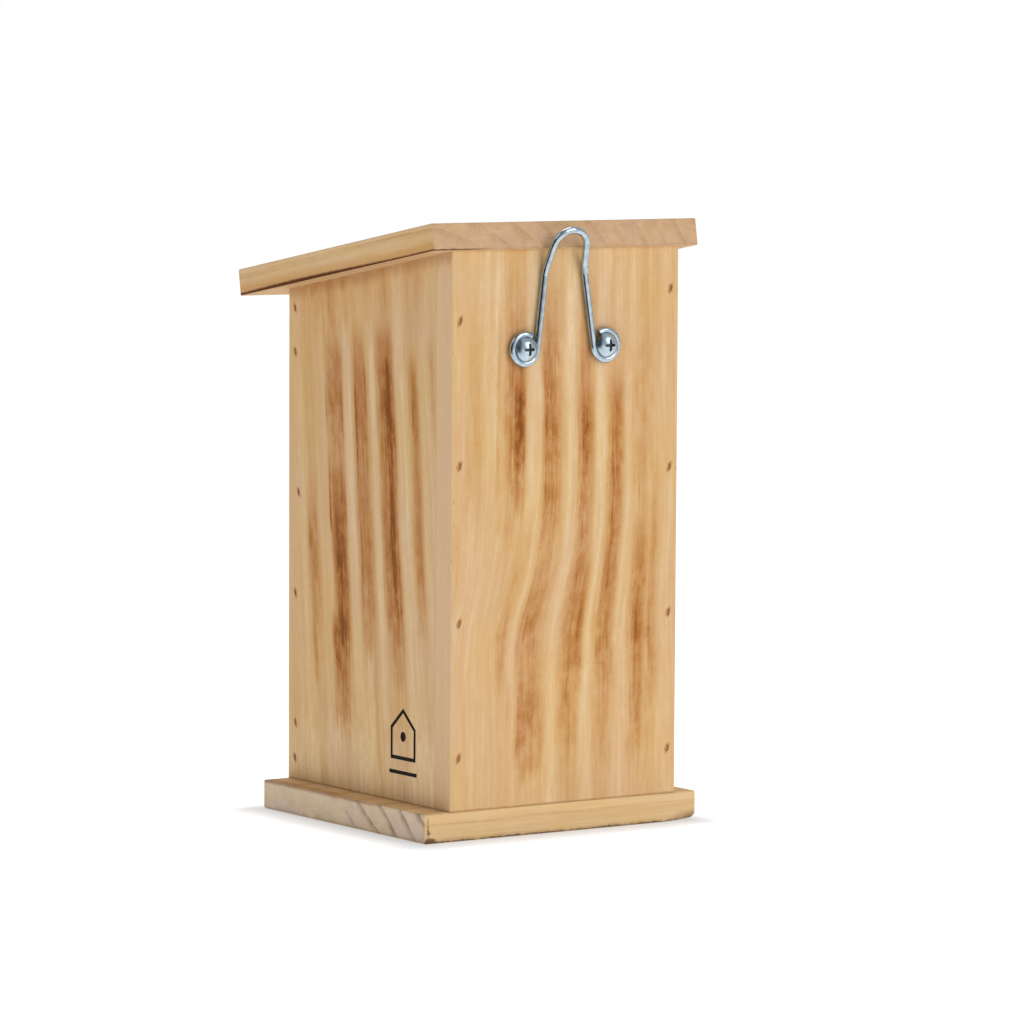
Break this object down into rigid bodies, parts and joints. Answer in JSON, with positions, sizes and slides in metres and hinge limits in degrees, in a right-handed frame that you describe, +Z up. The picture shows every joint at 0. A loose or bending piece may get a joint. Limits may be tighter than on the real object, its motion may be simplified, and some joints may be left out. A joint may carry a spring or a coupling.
{
  "type": "bird nest box",
  "caption": "Pine nest box with a sloping roof board, a base board, a round entrance, a pivoting cleaning door with a turn button, and a wire hanger on the back.",
  "frame": {"origin": "under the middle of the walls, on the plane of the base board's underside", "axes": "+Z up; -Y is the front with the entrance and the cleaning door; +Y is the back with the hanger; +X is to the right as seen from the front"},
  "size_m": [0.1446, 0.1677, 0.2681],
  "materials": {
    "flamed_pine": "planed softwood, lightly flamed so that the late wood is brown",
    "pine_roof": "planed softwood, saw marks on the ends",
    "pine_base": "planed pale softwood with scuffed edges",
    "zinc": "bright bluish zinc plating",
    "dull_steel": "dull dark steel brads, sunk below the wood"
  },
  "bodies": {
    "house": {"base_board": "pine_base", "back_board": "flamed_pine", "side_board_right": "flamed_pine", "side_board_left": "flamed_pine", "front_board": "flamed_pine", "sill_board": "flamed_pine", "button_screw": "zinc", "roof_board": "pine_roof", "hanger_wire": "zinc", "hanger_screw_right": "zinc", "hanger_screw_left": "zinc", "back_nails_right": "dull_steel", "back_nails_left": "dull_steel", "front_nails_right": "dull_steel", "front_nails_left": "dull_steel", "sill_nails_right": "dull_steel", "sill_nails_left": "dull_steel", "pivot_nail_right": "dull_steel", "pivot_nail_left": "dull_steel", "roof_nails": "dull_steel", "base_nails": "dull_steel"},
    "door": {"cleaning_door": "flamed_pine"},
    "button": {"turn_button": "pine_base"}
  },
  "joints": [
    {"name": "door_swing", "type": "hinge", "parent": "house", "child": "door", "pos_m": [0, -0.06, 0.0977], "axis": [-1, 0, 0], "range_deg": [0, 90]},
    {"name": "button_turn", "type": "hinge", "parent": "house", "child": "button", "pos_m": [0, -0.066, 0.038], "axis": [0, -1, 0], "range_deg": [0, 90]}
  ]
}
